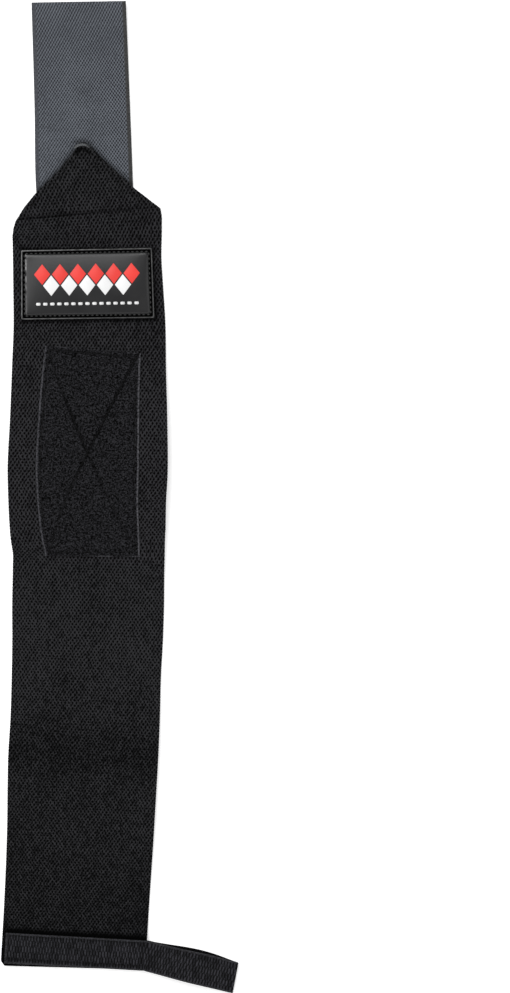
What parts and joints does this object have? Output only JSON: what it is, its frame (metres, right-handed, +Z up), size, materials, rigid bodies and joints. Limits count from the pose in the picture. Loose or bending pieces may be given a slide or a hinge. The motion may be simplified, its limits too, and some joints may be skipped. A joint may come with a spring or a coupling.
{
  "type": "wrist wrap",
  "caption": "Elastic wrist wrap laid open and flat, with a pointed end, hook strap, loop patch, rubber label and a narrow tape loop for the thumb.",
  "frame": {"origin": "middle of the wrap's footprint, on the surface that it lies on", "axes": "+Y along the wrap from the hem to the strap's tip, +X towards the thumb loop, +Z up, out of the face"},
  "size_m": [0.125, 0.5218, 0.0109],
  "materials": {
    "elastic": "matt black ribbed elastic weave",
    "webbing": "grey twill back of hook tape",
    "pile": "black looped pile",
    "label": "satin black moulded rubber with a red and white motif",
    "tape": "matt black ribbed narrow elastic"
  },
  "bodies": {
    "root": {"elastic_band": "elastic", "hook_strap": "webbing", "loop_patch": "pile", "label": "label", "loop_tape": "tape"}
  },
  "joints": []
}
